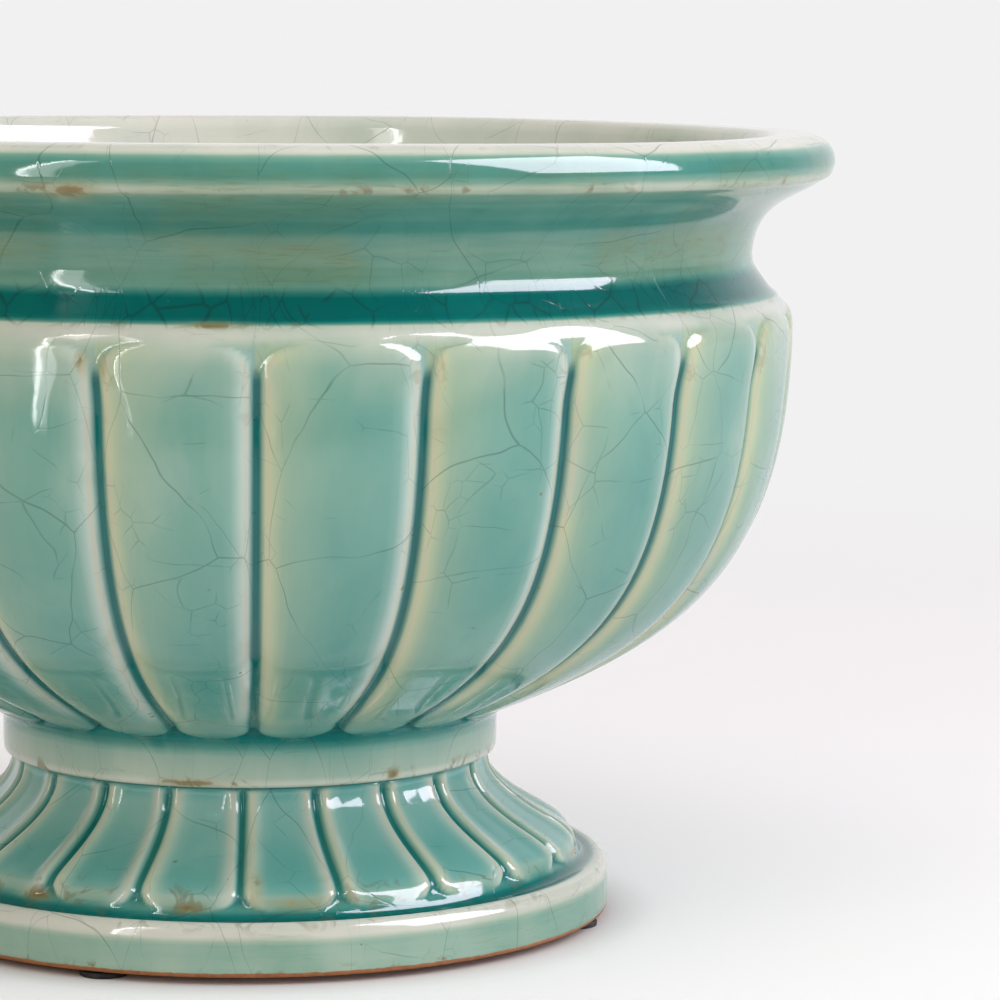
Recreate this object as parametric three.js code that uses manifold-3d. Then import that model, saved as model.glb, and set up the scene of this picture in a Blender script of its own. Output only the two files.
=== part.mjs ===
// A glazed earthenware jardiniere that lifts off its own fluted stand.
// The bowl's foot ring sits over a spigot on top of the stand, and the
// stand rests on four small rubber pads.

import * as THREE from 'three';
import { mergeVertices } from 'three/addons/utils/BufferGeometryUtils.js';
import Module from 'manifold-3d';

// Driving dimensions in millimetres. Heights are measured up from the table.
const RIM_RADIUS = 125.5;
const TOTAL_HEIGHT = 170;
const BELLY_RADIUS = 117;
const NECK_RADIUS = 108.2;
const FOOT_RING_RADIUS = 53.9;
const STAND_RADIUS = 78.6;
const WALL = 6.8;
const MESH_GAP = 0.3;

// Heights of the features, from the table up.
const PAD_HEIGHT = 1.2;
const STAND_BOTTOM = PAD_HEIGHT + MESH_GAP;
const BASE_RING_TOP = 12.5;
const FLUTE_TOE = 15;
const SEAT_HEIGHT = 35.9;
const BOWL_BOTTOM = SEAT_HEIGHT + MESH_GAP;
const BOWL_FLUTE_END = 46.7;
const BELLY_HEIGHT = 124.5;
const SHOULDER_CREST = 135.1;
const NECK_HEIGHT = 144;
const LIP_BOTTOM = 162;

// Flutes. A section runs from one groove to the next, as pairs of a share of
// the flute's width and the depth there below the outline. The bowl's flutes
// bulge, and the stand's are a little hollow in the middle.
const BOWL_FLUTES = 23;
const BOWL_SECTION = [[0, 3.3], [0.09, 1.3], [0.27, 0.1], [0.73, 0.1], [0.91, 1.3]];
const BOWL_TURN = THREE.MathUtils.degToRad(1);
const STAND_FLUTES = 21;
const STAND_SECTION = [[0, 2], [0.13, 0], [0.5, 0.8], [0.87, 0]];
const STAND_TURN = THREE.MathUtils.degToRad(-1.9);
const SMOOTH_SEGMENTS = 48;

// The socket between the bowl and the stand.
const SPIGOT_RADIUS = 44;
const SPIGOT_HEIGHT = 5;
const SPIGOT_BORE = 38;
const RECESS_RADIUS = 44.8;
const RECESS_HEIGHT = 9.3;
const BOWL_FLOOR = BOWL_BOTTOM + RECESS_HEIGHT + WALL - 0.3;

// Four stick-on pads under the stand, placed by hand. The angles run from the
// front, -Y, towards +X; the photograph shows the first two.
const PAD_RADIUS = 5;
const PAD_CIRCLE = 73;
const PAD_ANGLES = [-24, 72, 160, 248];
const PAD_SEGMENTS = 24;

const wasm = await Module();
wasm.setup();

const at = (radius, height) => new THREE.Vector2(radius, height);

// Points of a cubic curve after its first one, which the outline already has.
function bend(from, leaving, arriving, to, steps) {
  const curve = new THREE.CubicBezierCurve(from, leaving, arriving, to);
  return curve.getPoints(steps).slice(1);
}

// A solid of revolution about +Z. The outline runs from the axis to the axis.
function turned(outline, segments) {
  const geometry = new THREE.LatheGeometry(outline, segments);
  geometry.rotateX(Math.PI / 2);
  return geometry;
}

// Cuts flutes into a turned solid. The columns move to the section's places,
// and grownAt gives the share of the section's depth that a height has.
function fluted(outline, flutes, section, grownAt) {
  const geometry = turned(outline, flutes * section.length);
  const position = geometry.attributes.position;
  const step = 2 * Math.PI / (flutes * section.length);
  for (let i = 0; i < position.count; i += 1) {
    const x = position.getX(i);
    const y = position.getY(i);
    const height = position.getZ(i);
    const radius = Math.hypot(x, y);
    const column = Math.round(Math.atan2(x, -y) / step) + flutes * section.length;
    const [place, depth] = section[column % section.length];
    const flute = Math.floor(column / section.length) % flutes;
    const angle = 2 * Math.PI * (flute + place) / flutes;
    const cut = depth * grownAt(height, radius);
    position.setX(i, (radius - cut) * Math.sin(angle));
    position.setY(i, -(radius - cut) * Math.cos(angle));
  }
  return geometry;
}

function toManifold(geometry) {
  const bare = geometry.clone();
  bare.deleteAttribute('normal');
  bare.deleteAttribute('uv');
  const merged = mergeVertices(bare, 1e-4);
  return new wasm.Manifold(new wasm.Mesh({
    numProp: 3,
    vertProperties: new Float32Array(merged.attributes.position.array),
    triVerts: new Uint32Array(merged.index.array),
  }));
}

function toGeometry(solid) {
  const mesh = solid.getMesh();
  const geometry = new THREE.BufferGeometry();
  geometry.setAttribute('position', new THREE.BufferAttribute(mesh.vertProperties, 3));
  geometry.setIndex(new THREE.BufferAttribute(mesh.triVerts, 1));
  return geometry;
}

// 0 below the first height, 1 above the second, and a smooth rise between.
const rise = (height, low, high) => THREE.MathUtils.smoothstep(height, low, high);

// The bowl: foot ring, flared underside, belly, shoulder, neck and rolled lip.
function bowlOutline() {
  const footRing = at(FOOT_RING_RADIUS, 43.4);
  const fluteEnd = at(58, BOWL_FLUTE_END);
  const belly = at(BELLY_RADIUS, BELLY_HEIGHT);
  const shoulder = at(BELLY_RADIUS, 129.6);
  const crest = at(113.6, SHOULDER_CREST);
  const neck = at(NECK_RADIUS, NECK_HEIGHT);
  const lip = at(RIM_RADIUS - 1.1, LIP_BOTTOM);
  const lipFace = at(RIM_RADIUS, 164.8);
  const topEdge = at(RIM_RADIUS - 4.5, TOTAL_HEIGHT);
  return [
    at(0, BOWL_BOTTOM),
    at(52.6, BOWL_BOTTOM),
    at(53.4, 36.8),
    at(FOOT_RING_RADIUS, 38.6),
    footRing,
    at(55.2, 45),
    fluteEnd,
    ...bend(fluteEnd, at(98.5, 63.3), at(115.4, 78.9), belly, 11),
    shoulder,
    ...bend(shoulder, at(BELLY_RADIUS, 132.5), at(115.6, 133.6), crest, 3),
    ...bend(crest, at(112, 136.6), at(107.7, 141.3), neck, 3),
    ...bend(neck, at(108.9, 155.3), at(117.3, 156.1), lip, 6),
    at(RIM_RADIUS - 0.8, 163.4),
    lipFace,
    ...bend(lipFace, at(RIM_RADIUS, 167.2), at(RIM_RADIUS - 2.2, 169.4), topEdge, 4),
    at(0, TOTAL_HEIGHT),
  ];
}

// The bowl's inside follows its outside at the wall's thickness.
function bowlCavityOutline() {
  const floorEdge = at(44, BOWL_FLOOR);
  const belly = at(BELLY_RADIUS - WALL, BELLY_HEIGHT);
  const neck = at(NECK_RADIUS - WALL + 0.4, 146);
  const throat = at(109.4, 165.6);
  const rimEdge = at(113, TOTAL_HEIGHT);
  return [
    at(0, BOWL_FLOOR),
    floorEdge,
    ...bend(floorEdge, at(88, 59), at(108.6, 82), belly, 8),
    ...bend(belly, at(BELLY_RADIUS - WALL, 136), at(NECK_RADIUS - WALL, 137), neck, 4),
    ...bend(neck, at(102, 156), at(108.6, 160), throat, 4),
    ...bend(throat, at(109.8, 168), at(111, 169.6), rimEdge, 2),
    at(113, TOTAL_HEIGHT + 1),
    at(0, TOTAL_HEIGHT + 1),
  ];
}

function bowlGeometry() {
  const grownAt = (height) => rise(height, 44, 48.5) * (1 - rise(height, 126, 133));
  const outside = fluted(bowlOutline(), BOWL_FLUTES, BOWL_SECTION, grownAt);
  const recess = turned([
    at(0, BOWL_BOTTOM - 1),
    at(RECESS_RADIUS, BOWL_BOTTOM - 1),
    at(RECESS_RADIUS, BOWL_BOTTOM + RECESS_HEIGHT - 1.5),
    at(RECESS_RADIUS - 1.5, BOWL_BOTTOM + RECESS_HEIGHT),
    at(0, BOWL_BOTTOM + RECESS_HEIGHT),
  ], SMOOTH_SEGMENTS);
  const cavity = turned(bowlCavityOutline(), SMOOTH_SEGMENTS);
  return toGeometry(toManifold(outside).subtract(toManifold(cavity)).subtract(toManifold(recess)));
}

// The stand: base ring, a groove, the flutes' rounded toes and their flare up
// to the seat.
function standOutline() {
  const ringFace = at(STAND_RADIUS, 9.3);
  const ringTop = at(75.9, BASE_RING_TOP);
  const toe = at(71.3, FLUTE_TOE);
  const flareStart = at(69.4, 18.5);
  const flareEnd = at(52, 34);
  return [
    at(0, STAND_BOTTOM),
    at(78, STAND_BOTTOM),
    at(STAND_RADIUS, 2.4),
    ringFace,
    ...bend(ringFace, at(STAND_RADIUS, 11.2), at(77.6, BASE_RING_TOP), ringTop, 3),
    at(74.3, 12),
    at(72.3, 12.9),
    toe,
    at(70.9, 16.8),
    flareStart,
    ...bend(flareStart, at(65.7, 21.4), at(52.6, 26.7), flareEnd, 7),
    at(51.7, 35.3),
    at(51, SEAT_HEIGHT),
    at(SPIGOT_RADIUS, SEAT_HEIGHT),
    at(SPIGOT_RADIUS, SEAT_HEIGHT + SPIGOT_HEIGHT - 1),
    at(SPIGOT_RADIUS - 1, SEAT_HEIGHT + SPIGOT_HEIGHT),
    at(0, SEAT_HEIGHT + SPIGOT_HEIGHT),
  ];
}

// The stand is open from below right through its top.
function standCavityOutline() {
  const skirt = at(65.6, 12);
  const throat = at(SPIGOT_BORE, 33);
  return [
    at(0, STAND_BOTTOM - 1),
    at(67, STAND_BOTTOM - 1),
    at(67, STAND_BOTTOM),
    skirt,
    ...bend(skirt, at(64, 20), at(45.5, 21.5), at(44.4, 29), 4),
    throat,
    at(SPIGOT_BORE, SEAT_HEIGHT + SPIGOT_HEIGHT + 1),
    at(0, SEAT_HEIGHT + SPIGOT_HEIGHT + 1),
  ];
}

function standGeometry() {
  const grownAt = (height, radius) => {
    const onFlare = radius > SPIGOT_RADIUS + 3 ? 1 : 0;
    return onFlare * rise(height, 13, 15) * (1 - rise(height, 34.2, 35.8));
  };
  const outside = fluted(standOutline(), STAND_FLUTES, STAND_SECTION, grownAt);
  const cavity = turned(standCavityOutline(), SMOOTH_SEGMENTS);
  return toGeometry(toManifold(outside).subtract(toManifold(cavity)));
}

function padGeometry() {
  return turned([
    at(0, 0),
    at(PAD_RADIUS - 0.3, 0),
    at(PAD_RADIUS, 0.3),
    at(PAD_RADIUS, PAD_HEIGHT),
    at(0, PAD_HEIGHT),
  ], PAD_SEGMENTS);
}

const glaze = () => new THREE.MeshStandardMaterial({ color: 0x86b09d, roughness: 0.12, metalness: 0 });
const rubber = () => new THREE.MeshStandardMaterial({ color: 0x171717, roughness: 0.7, metalness: 0 });

const jardiniere = new THREE.Group();

const bowl = new THREE.Mesh(bowlGeometry(), glaze());
bowl.name = 'bowl';
bowl.rotation.z = BOWL_TURN;
jardiniere.add(bowl);

const stand = new THREE.Mesh(standGeometry(), glaze());
stand.name = 'stand';
stand.rotation.z = STAND_TURN;
jardiniere.add(stand);

PAD_ANGLES.forEach((degrees, i) => {
  const angle = THREE.MathUtils.degToRad(degrees);
  const pad = new THREE.Mesh(padGeometry(), rubber());
  pad.name = `stand_pad_${i + 1}`;
  pad.position.set(PAD_CIRCLE * Math.sin(angle), -PAD_CIRCLE * Math.cos(angle), 0);
  jardiniere.add(pad);
});

export default jardiniere;
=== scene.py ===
"""Dresses a glazed jardiniere and its stand, and sets the studio around them."""

import math

import bpy
import numpy as np
from mathutils import Matrix, Vector


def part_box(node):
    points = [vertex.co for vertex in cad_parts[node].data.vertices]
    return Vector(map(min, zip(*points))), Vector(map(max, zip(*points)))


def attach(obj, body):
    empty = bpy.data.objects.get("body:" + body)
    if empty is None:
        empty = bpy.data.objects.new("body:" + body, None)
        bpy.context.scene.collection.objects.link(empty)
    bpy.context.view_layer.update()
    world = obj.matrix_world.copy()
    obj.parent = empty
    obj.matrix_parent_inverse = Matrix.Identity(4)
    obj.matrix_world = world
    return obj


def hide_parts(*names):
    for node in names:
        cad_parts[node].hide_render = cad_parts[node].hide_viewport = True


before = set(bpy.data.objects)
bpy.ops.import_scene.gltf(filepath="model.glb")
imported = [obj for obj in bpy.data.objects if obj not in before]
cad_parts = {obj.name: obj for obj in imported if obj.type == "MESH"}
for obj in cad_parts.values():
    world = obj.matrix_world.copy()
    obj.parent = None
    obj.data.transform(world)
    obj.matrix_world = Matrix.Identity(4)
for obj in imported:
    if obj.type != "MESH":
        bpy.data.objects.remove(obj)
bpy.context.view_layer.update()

bl_info = {
    "name": "Glazed jardiniere on its stand",
    "version": (1, 0, 0),
    "blender": (4, 5, 0),
    "location": "3D View > Sidebar > Jardiniere",
    "description": "Builds the fluted bowl, its stand, the pads and a plain studio",
    "category": "Add Mesh",
}

MM = 0.001
BOWL_LOW, BOWL_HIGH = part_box("bowl")
STAND_LOW, STAND_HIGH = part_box("stand")
PAD_NODES = ("stand_pad_1", "stand_pad_2", "stand_pad_3", "stand_pad_4")


def shade(red, green, blue):
    """A colour as it looks on screen, 0 to 255, turned into the linear values that Blender uses."""
    screen = np.array([red, green, blue]) / 255
    linear = np.where(screen <= 0.04045, screen / 12.92, ((screen + 0.055) / 1.055) ** 2.4)
    return tuple(float(value) for value in linear)


def length(name, description, millimetres):
    """A size in metres whose default is given in millimetres."""
    return bpy.props.FloatProperty(
        name=name, description=description, default=millimetres * MM, unit="LENGTH", precision=4)


def colour(name, description, red, green, blue):
    """A colour whose default is given as it looks on screen."""
    return bpy.props.FloatVectorProperty(
        name=name, description=description, default=shade(red, green, blue),
        subtype="COLOR", min=0, max=1)


class BowlSizes(bpy.types.PropertyGroup):
    """Sizes of the bowl."""

    rim_radius: length("Rim radius", "Half the width across the rim", BOWL_HIGH.x / MM)
    top: length("Top", "Height of the rim above the table", BOWL_HIGH.z / MM)
    seat: length("Seat", "Height of the foot ring's underside", BOWL_LOW.z / MM)
    belly_radius: length("Belly radius", "Radius where the bowl is fullest", 117)
    neck_radius: length("Neck radius", "Radius of the narrowest part of the neck", 108.2)
    foot_ring_radius: length("Foot ring radius", "Radius of the ring under the bowl", 53.9)
    wall: length("Wall", "Thickness of the fired clay", 6.8)
    rim_roll: length("Rim roll", "Radius of the rim's rounded outer edge", 5.8)
    groove_width: length("Groove width", "Width of the glaze pooled in a groove", 1.3)
    flutes: bpy.props.IntProperty(
        name="Flutes", description="Number of flutes around the belly", default=23, min=3)
    turn: bpy.props.FloatProperty(
        name="Turn", description="Angle of the front groove", default=math.radians(1), unit="ROTATION")


class StandSizes(bpy.types.PropertyGroup):
    """Sizes of the stand and of the pads under it."""

    base_radius: length("Base radius", "Half the width across the base ring", STAND_HIGH.x / MM)
    underside: length("Underside", "Height of the stand's underside", STAND_LOW.z / MM)
    seat: length("Seat", "Height of the face that carries the bowl", 35.9)
    throat_radius: length("Throat radius", "Radius just below the seat", 52)
    groove_depth: length("Groove depth", "Depth of the grooves between the flutes", 1.4)
    hollow: length("Hollow", "Depth of the hollow along each flute", 0.8)
    flutes: bpy.props.IntProperty(
        name="Flutes", description="Number of flutes around the stand", default=21, min=3)
    turn: bpy.props.FloatProperty(
        name="Turn", description="Angle of the front groove", default=math.radians(-1.9), unit="ROTATION")
    pad_rounding: length("Pad rounding", "Radius of the pads' worn edges", 0.3)


class GlazeColours(bpy.types.PropertyGroup):
    """Colours of the glaze from its thinnest to its thickest, and of the clay under it. Three of them are
    partly painted light: warm window light and softbox sheen at the flute edges, and the stand's lit
    hollows.
    """

    bone: colour("Bone", "Glaze drawn thin over an edge", 232, 227, 219)
    cream: colour("Cream", "Glaze beside an edge", 188, 202, 186)
    celadon: colour("Celadon", "Glaze of ordinary thickness", 122, 172, 158)
    sage: colour("Sage", "Glaze a little thicker", 76, 150, 142)
    teal: colour("Teal", "Glaze gathered in a hollow", 10, 122, 118)
    pool: colour("Pool", "Glaze pooled in a groove", 0, 104, 102)
    # Partly painted light: the glaze at a flute's left edge, tinted warm as painted window light falling
    # from the left.
    straw_and_window_light: colour("Straw", "Glaze at a flute's left edge", 207, 212, 173)
    # Partly painted light: the glaze at a flute's right edge, paled as painted sheen from the softbox at
    # the right.
    blush_and_softbox_sheen: colour("Blush", "Glaze at a flute's right edge", 208, 220, 212)
    peach: colour("Peach", "Clay warming the thin glaze right beside a groove", 222, 206, 182)
    olive: colour("Olive", "Brush streaks on the neck", 126, 144, 102)
    rust: colour("Rust", "Clay showing through at an edge", 118, 99, 52)
    ochre: colour("Ochre", "Clay warming the glaze where it is worn", 174, 160, 114)
    # Partly painted light: the glaze gathered in the stand's hollows, made lighter and cooler as painted
    # light where the bowl shades the stand.
    lagoon_and_cool_light: colour("Lagoon", "Glaze in the hollows of the stand's flutes", 112, 188, 188)
    clay: colour("Clay", "Bare fired clay", 176, 112, 66)
    rubber: colour("Rubber", "The pads", 22, 22, 23)


class StudioLight(bpy.types.PropertyGroup):
    """Levels of the studio's light and the colour of what stands behind."""

    softbox: bpy.props.FloatProperty(
        name="Softbox", description="Power of the softbox at the right", default=7.2, unit="POWER")
    window: bpy.props.FloatProperty(
        name="Window", description="Power of the window at the left", default=3.1, unit="POWER")
    overhead: bpy.props.FloatProperty(
        name="Overhead", description="Power of the panel overhead", default=4.8, unit="POWER")
    fill: bpy.props.FloatProperty(
        name="Fill", description="Power of the low panel in front", default=3.2, unit="POWER")
    glint: bpy.props.FloatProperty(
        name="Glint", description="How much brighter the lamps look in the glaze", default=5.2, min=0)
    ambient: bpy.props.FloatProperty(
        name="Ambient", description="Light from all around", default=0.49, min=0)
    surround: bpy.props.FloatProperty(
        name="Surround", description="How bright the surroundings look in the glaze", default=0.12, min=0)
    table_glow: bpy.props.FloatProperty(
        name="Table glow", description="How much paler the table looks than its light makes it",
        default=0.25, min=0)
    table: colour("Table", "The table top", 238, 232, 234)
    backdrop: colour("Backdrop", "What the camera sees behind the table", 242, 241, 242)


# Shapes. Every surface is worked out in millimetres on a grid: rows follow an
# outline, and columns go round the axis from the front towards the right.


def bend(start, leaving, arriving, end, steps=24):
    """Points of a cubic curve after its start: the four points weighted by the cubic's shares."""
    t = np.linspace(0, 1, steps + 1)[1:, None]
    points = [np.array(point, float) for point in (start, leaving, arriving, end)]
    shares = ((1 - t) ** 3, 3 * t * (1 - t) ** 2, 3 * t ** 2 * (1 - t), t ** 3)
    return sum(share * point for share, point in zip(shares, points))


def arc(middle, radius, start, end, steps=16):
    """Points of a circle round its middle, between two angles in degrees up from straight outwards."""
    angle = np.radians(np.linspace(start, end, steps + 1))[:, None]
    return np.array(middle) + radius * np.hstack([np.cos(angle), np.sin(angle)])


def rise(value, low, high):
    """0 below low, 1 above high, and a smooth step between them."""
    share = np.clip((value - low) / (high - low), 0, 1)
    return share * share * (3 - 2 * share)


def bell(distance, width):
    """1 at no distance, falling off as a bell curve of the given width."""
    return np.exp(-(distance / width) ** 2)


class Outline:
    """An outline walked at an even step, its corners rounded by a bell-curve average.

    Rows are kept where the running sum of 1 / spacing passes a whole number, so
    that they crowd together where the spacing is small.
    """

    STEP = 0.05

    def __init__(self, points, softness, spacing_marks, closed=False):
        points = np.vstack(points)
        legs = np.hypot(*np.diff(points, axis=0).T)
        walked = np.concatenate([[0], np.cumsum(legs)])
        fine = np.arange(0, walked[-1], self.STEP)
        reach = int(4 * softness / self.STEP)
        average = bell(np.arange(-reach, reach + 1) * self.STEP, softness)
        average /= average.sum()
        how = {"mode": "wrap"} if closed else {"mode": "reflect", "reflect_type": "odd"}
        smooth = [np.convolve(np.pad(np.interp(fine, walked, points[:, i]), reach, **how), average, "valid")
                  for i in (0, 1)]
        self.fine = fine
        self.fine_points = np.stack(smooth, 1)
        spacing = self.along(spacing_marks, fine)
        running = np.cumsum(self.STEP / spacing)
        running = (running - running[0]) / (running[-1] - running[0])
        count = int(np.sum(self.STEP / spacing))
        shares = np.linspace(0, 1, count, endpoint=not closed)
        self.walked = np.interp(shares, running, fine)
        self.radius = np.interp(self.walked, fine, self.fine_points[:, 0])
        self.height = np.interp(self.walked, fine, self.fine_points[:, 1])
        slope = np.gradient(self.fine_points, self.STEP, axis=0)
        slope /= np.maximum(np.hypot(slope[:, 0], slope[:, 1]), 1e-9)[:, None]
        self.out_radius = np.interp(self.walked, fine, slope[:, 1])
        self.out_height = np.interp(self.walked, fine, -slope[:, 0])

    def place(self, radius, height):
        """The distance walked to the point of the outline nearest to this one."""
        gaps = np.hypot(self.fine_points[:, 0] - radius, self.fine_points[:, 1] - height)
        return self.fine[np.argmin(gaps)]

    def along(self, marks, walked=None):
        """A value for each row, straight between the values at (radius, height, value) marks."""
        places = [self.place(radius, height) for radius, height, _ in marks]
        order = np.argsort(places)
        values = np.array([mark[2] for mark in marks], float)[order]
        walked = self.walked if walked is None else walked
        return np.interp(walked, np.array(places)[order], values)


def flute_columns(flutes, places):
    """Columns that crowd at the grooves. places are shares of half a flute from its groove, 0, to its
    middle, 1. Gives each column's place in flutes and its nearness, 0 at a groove and 1 in a middle."""
    half = np.array(places) / 2
    one = np.concatenate([half, 1 - half[-2:0:-1]])
    turns = (np.arange(flutes)[:, None] + one).ravel()
    nearness = np.tile(2 * np.minimum(one, 1 - one), flutes)
    return turns, nearness


def soft_smaller(first, second, sharpness=9):
    """The smaller of two depths, with a smooth turn where they cross: minus the logarithm of the sum of
    two falling exponentials."""
    return -np.logaddexp(-sharpness * first, -sharpness * second) / sharpness


def panel_reach(walked, half, top_end, top_corner, low_end, low_corner):
    """Half width of a flute's panel at each row. The sides run at the full half width, and within a
    corner's height of an end they draw in along a quarter of an ellipse by the corner's width."""
    width, tall = top_corner
    into = np.clip(1 - (top_end - walked) / tall, 0, 1)
    reach = half - width * (1 - np.sqrt(1 - into ** 2))
    width, tall = low_corner
    into = np.clip(1 - (walked - low_end) / tall, 0, 1)
    return reach - width * (1 - np.sqrt(1 - into ** 2))


def skin(name, x, y, z, marks, scale_round, closed_rows=False):
    """Joins a grid of points into one closed mesh. Columns always close round the axis. Rows close on
    themselves, or their first and last ones shrink to a point each. marks become vertex attributes.
    The UV map is in millimetres, and once round is as long as a circle of radius scale_round."""
    rows, columns = x.shape
    points = np.stack([x, y, z], 2) * MM
    index = np.arange(rows * columns).reshape(rows, columns)
    if not closed_rows:
        points[0] = points[0].mean(0)
        points[-1] = points[-1].mean(0)
    below = index if closed_rows else index[:-1]
    above = np.roll(index, -1, 0) if closed_rows else index[1:]
    corners = np.stack([below, np.roll(below, -1, 1), np.roll(above, -1, 1), above], 2).reshape(-1, 4)
    if closed_rows:
        faces = corners.tolist()
        used = np.arange(rows * columns)
    else:
        first, last = index[0, 0], index[-1, 0]
        body = corners.reshape(rows - 1, columns, 4)
        low = body[0][:, [0, 2, 3]]
        low[:, 0] = first
        high = body[-1][:, [0, 1, 2]]
        high[:, 2] = last
        faces = low.tolist() + body[1:-1].reshape(-1, 4).tolist() + high.tolist()
        used = np.concatenate([[first], index[1:-1].ravel(), [last]])
    renumbered = np.full(rows * columns, -1)
    renumbered[used] = np.arange(len(used))
    mesh = bpy.data.meshes.new(name)
    mesh.from_pydata(points.reshape(-1, 3)[used], [], [renumbered[face].tolist() for face in faces])
    for mark, values in marks.items():
        attribute = mesh.attributes.new(mark, "FLOAT", "POINT")
        attribute.data.foreach_set("value", np.broadcast_to(values, (rows, columns)).ravel()[used])
    lay_map(mesh, used, rows, columns, x, y, z, scale_round)
    mesh.polygons.foreach_set("use_smooth", np.ones(len(mesh.polygons), bool))
    mesh.update()
    piece = bpy.data.objects.new(name, mesh)
    bpy.context.scene.collection.objects.link(piece)
    return piece


def lay_map(mesh, used, rows, columns, x, y, z, scale_round):
    """Lays the UV map: across runs evenly over the columns, once round a circle of radius scale_round, and
    up is the distance walked along the rows. Where the last column meets the first, the corners there
    count one whole turn more."""
    row_of, column_of = np.divmod(used, columns)
    legs = np.hypot(np.diff(np.hypot(x[:, 0], y[:, 0])), np.diff(z[:, 0]))
    walked = np.concatenate([[0], np.cumsum(legs)])
    loops = np.empty(len(mesh.loops), np.int32)
    mesh.loops.foreach_get("vertex_index", loops)
    starts = np.empty(len(mesh.polygons), np.int32)
    totals = np.empty(len(mesh.polygons), np.int32)
    mesh.polygons.foreach_get("loop_start", starts)
    mesh.polygons.foreach_get("loop_total", totals)
    column = column_of[loops].astype(float)
    polygon = np.repeat(np.arange(len(starts)), totals)
    highest = np.maximum.reduceat(column, starts)
    column = np.where((highest[polygon] == columns - 1) & (column == 0), columns, column)
    across = column / columns * 2 * math.pi * scale_round
    up = walked[row_of[loops]]
    layer = mesh.uv_layers.new(name="glaze_map")
    layer.data.foreach_set("uv", np.stack([across, up], 1).astype(np.float32).ravel())


def bowl_outline(size):
    """The bowl's outline, as (radius, height) points in millimetres: from the axis under its floor, out
    and up its face, over the rim and down inside."""
    seat, top = size.seat / MM, size.top / MM
    rim, belly, neck = size.rim_radius / MM - 0.05, size.belly_radius / MM, size.neck_radius / MM
    ring, wall = size.foot_ring_radius / MM, size.wall / MM
    inside = belly - wall
    floor = seat + 15.8
    roll = size.rim_roll / MM
    points = [
        [(0, seat + 9.3), (43.3, seat + 9.3), (44.8, seat + 7.8), (44.8, seat + 0.5), (45.3, seat)],
        [(51.8, seat), (52.7, seat - 0.2), (53.3, seat - 0.7), (ring - 0.1, seat + 0.2), (ring, seat + 2)],
        [(ring, seat + 7)],
        [(54.5, seat + 8.2), (55.6, seat + 9.2), (58, seat + 10.5)],
        bend((58, seat + 10.5), (98.5, 63.3), (115.4, 78.9), (belly, 124.5)),
        [(belly, 129.2)],
        bend((belly, 129.2), (belly, 131.6), (116.2, 132.9), (114.9, 134)),
        [(114.3, 134.7), (113.2, 135.9), (112.2, 136.6), (109.3, 140.6)],
        bend((109.3, 140.6), (108.6, 141.6), (neck, 142.4), (neck, 144)),
        bend((neck, 144), (108.9, 155.3), (116.8, 156.1), (122.4, 160)),
        [(124.2, 160.9), (124.9, 161.9), (125, 162.6)],
        arc((rim - roll, top - roll), roll, -6, 90),
        [(113.5, top)],
        bend((113.5, top), (111, top), (109.8, top - 2), (109.4, top - 4.4)),
        bend((109.4, top - 4.4), (108.6, 160), (102, 156), (neck - wall + 0.4, 146)),
        bend((neck - wall + 0.4, 146), (neck - wall, 137), (inside, 136), (inside, 124.5)),
        bend((inside, 124.5), (108.6, 82), (88, 59), (44, floor)),
        [(0, floor)],
    ]
    spacing = [
        (0, seat + 9.3, 9), (43, seat + 9.3, 3), (44.8, seat + 4, 2.4), (51, seat, 0.6),
        (ring, seat + 2, 0.45), (ring, seat + 5, 1.1), (55, seat + 9, 0.6), (60, seat + 11.5, 0.6),
        (68, seat + 14.4, 1.5), (100, 70, 3), (belly, 118, 2.6), (belly, 125, 0.9), (belly, 130, 0.7),
        (114.3, 134.7, 0.7), (neck, 144, 1.4), (114, 156, 1.5), (122.6, 160, 0.6), (124.6, 163.4, 0.35),
        (rim, 165, 0.55), (rim - 4, 169, 0.7), (112, top, 1.2), (109.4, top - 5, 3), (inside, 124, 6.5),
        (60, 55.5, 7), (0, floor, 14),
    ]
    return Outline(points, 0.42, spacing)


# Spots where the glaze is worn: the angle from the front in degrees, and then the height, the half
# width and the half height in millimetres.
BOWL_WEAR = (
    (-13.4, 36.7, 8, 0.8), (33.6, 37, 1.6, 1.2), (205, 36.7, 7, 0.9),
    (-15.8, 128.6, 1.2, 2.2), (-14.0, 127.2, 0.6, 2.4), (251, 129, 1.4, 2.2),
    (-3.7, 135.5, 6, 0.5), (96, 135.7, 5, 0.8),
    (-15.7, 161.2, 5, 1.5), (150, 161, 5, 1.4), (283, 161, 4, 1.4),
)
STAND_WEAR = (
    (7.5, 15.2, 6, 1.3), (1.0, 17.4, 1.2, 2.2), (-10, 14.3, 2.6, 0.9), (-38, 14.6, 3, 1.1),
    (78, 14.5, 4, 1), (127, 14.7, 6, 1.1), (198, 14.5, 3, 1), (262, 14.6, 5, 1.1),
)

# How far left of the front the mould seam runs up the bowl.
SEAM_ANGLE = math.radians(20.3)


def worn_spots(angle, radius, height, spots):
    """How worn the glaze is, 0 to 1: the bell curves round each spot, added up."""
    total = 0
    for turned, level, wide, tall in spots:
        away = np.angle(np.exp(1j * (angle - math.radians(turned)))) * radius
        total = total + bell(away, wide) * bell(height - level, tall)
    return np.minimum(total, 1)


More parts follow.
